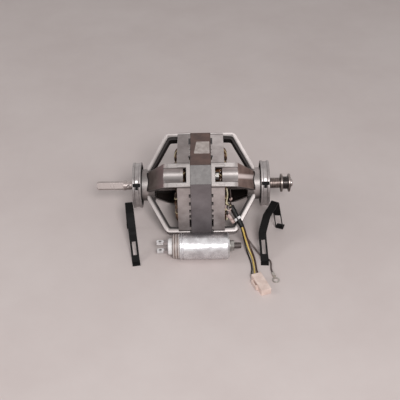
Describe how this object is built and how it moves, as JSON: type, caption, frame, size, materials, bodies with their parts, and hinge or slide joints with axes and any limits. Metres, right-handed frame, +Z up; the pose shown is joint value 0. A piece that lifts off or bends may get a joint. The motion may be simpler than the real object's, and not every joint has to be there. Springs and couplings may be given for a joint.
{
  "type": "dryer fan motor",
  "caption": "Two-shaft induction motor with a square stack between spider end shields, mounting rings, pulley, run capacitor, straps and leads.",
  "frame": {"origin": "centre of the box under the motor, capacitor and straps, on the surface they stand on", "axes": "+X along the shaft towards the pulley, +Y to the back, +Z up"},
  "size_m": [0.273, 0.2255, 0.1206],
  "materials": {
    "stack_steel": "dark oxidised lamination edges",
    "cast_aluminium": "cast and tumbled",
    "copper_wire": "varnished winding wire",
    "insulation": "slot paper",
    "bright_steel": "turned and ground",
    "rotor_steel": "turned laminations",
    "rubber": "moulded",
    "bronze": "sintered",
    "felt": "oiled felt",
    "can_aluminium": "drawn can",
    "white_plastic": "moulded",
    "dark_plastic": "phenolic disc",
    "strap_steel": "black phosphate",
    "black_cover": "varnished sleeve",
    "yellow_cover": "wire cover",
    "brown_cover": "wire cover",
    "grey_cover": "wire cover",
    "connector_plastic": "moulded",
    "tinned_brass": "tinned"
  },
  "bodies": {
    "motor_frame": {"stator_core": "stack_steel", "slot_liners": "insulation", "slot_conductors": "copper_wire", "slot_wedges": "insulation", "coil_heart_fan": "copper_wire", "coil_heart_pulley": "copper_wire", "end_winding_fan": "copper_wire", "end_winding_pulley": "copper_wire", "end_shield_fan": "cast_aluminium", "end_shield_pulley": "cast_aluminium", "through_bolts": "bright_steel", "bolt_washers": "bright_steel", "ring_band_fan": "bright_steel", "ring_band_pulley": "bright_steel", "ring_rubber_fan": "rubber", "ring_rubber_pulley": "rubber", "bearing_bush_fan": "bronze", "bearing_bush_pulley": "bronze", "felt_ring_fan": "felt", "felt_ring_pulley": "felt", "bearing_cap_fan": "bright_steel", "bearing_cap_pulley": "bright_steel", "capacitor_can": "can_aluminium", "capacitor_lid": "dark_plastic", "capacitor_cap": "white_plastic", "capacitor_terminals": "white_plastic", "stud_nut": "bright_steel", "stud_washer": "bright_steel", "strap_fan_side": "strap_steel", "strap_pulley_side": "strap_steel", "lead_sleeve": "black_cover", "sleeve_clip": "white_plastic", "lead_black": "black_cover", "lead_yellow": "yellow_cover", "lead_brown": "brown_cover", "lead_earth": "grey_cover", "connector_housing": "connector_plastic", "connector_contacts": "tinned_brass", "ring_terminal": "tinned_brass"},
    "rotor": {"shaft": "bright_steel", "rotor_core": "rotor_steel", "rotor_cage_fan": "cast_aluminium", "rotor_cage_pulley": "cast_aluminium", "thrust_washer_fan": "bronze", "thrust_washer_pulley": "bronze", "shaft_collar": "bright_steel", "spacer_bush": "bright_steel", "pulley": "bright_steel", "circlip": "bright_steel"}
  },
  "joints": [
    {"name": "rotor_spin", "type": "hinge", "parent": "motor_frame", "child": "rotor", "pos_m": [0.009, 0.02304, 0.0603], "axis": [1, 0, 0], "continuous": true}
  ]
}
